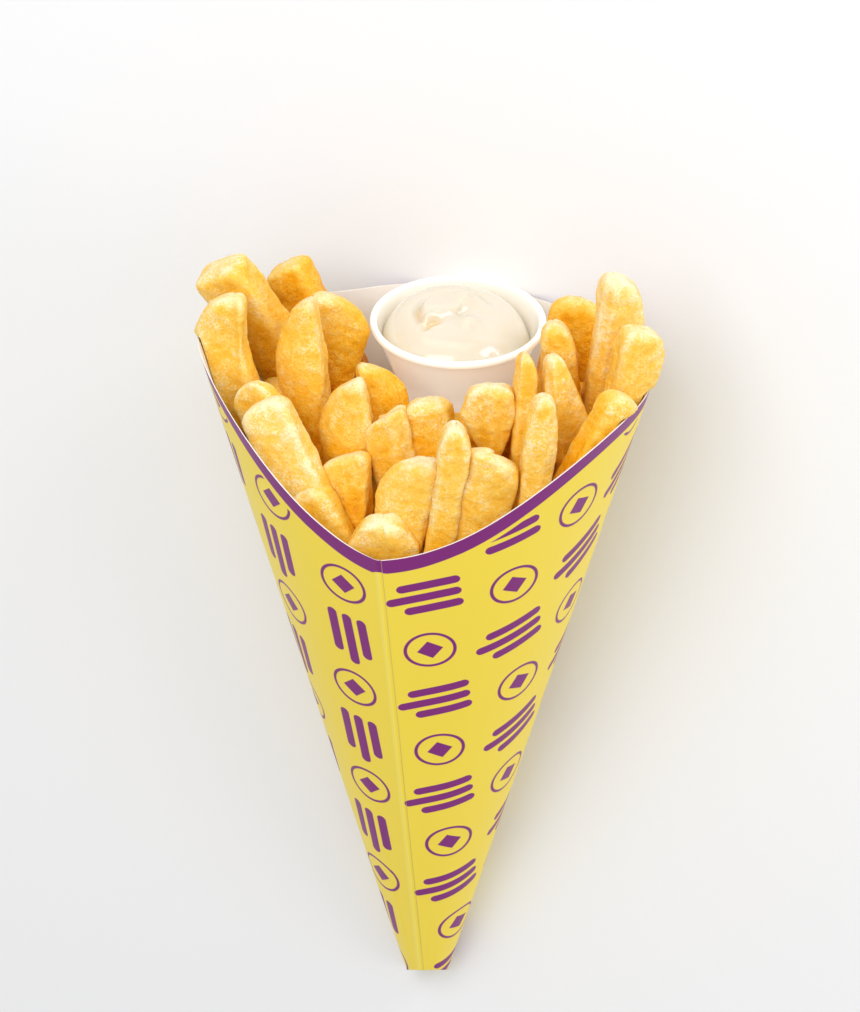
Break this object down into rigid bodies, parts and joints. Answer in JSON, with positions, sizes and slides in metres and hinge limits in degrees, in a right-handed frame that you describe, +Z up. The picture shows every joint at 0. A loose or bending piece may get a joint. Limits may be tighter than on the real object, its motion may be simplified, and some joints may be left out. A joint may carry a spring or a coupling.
{
  "type": "fries in a paperboard cone with a dip cup",
  "caption": "Takeaway paperboard cone with a purple rim band, packed with thick-cut french fries and a small plastic cup of creamy sauce, lying on its flat back.",
  "frame": {"origin": "centre of the footprint on the floor under the cone as it lies on its flat back", "axes": "+Y runs from the blunt tip to the mouth, +Z up from the flat back to the front crease, +X to the right as seen from the crease with the mouth away"},
  "size_m": [0.13, 0.2454, 0.1071],
  "materials": {
    "printed_board": "satin printed coating, yellow with purple, white inside",
    "fried_potato": "crisp granular fried crust",
    "cup_plastic": "glossy, slightly translucent",
    "creamy_sauce": "wet gloss, soft and creamy"
  },
  "bodies": {
    "root": {"cone_board": "printed_board", "fries": "fried_potato", "sauce_cup": "cup_plastic", "sauce": "creamy_sauce"}
  },
  "joints": []
}
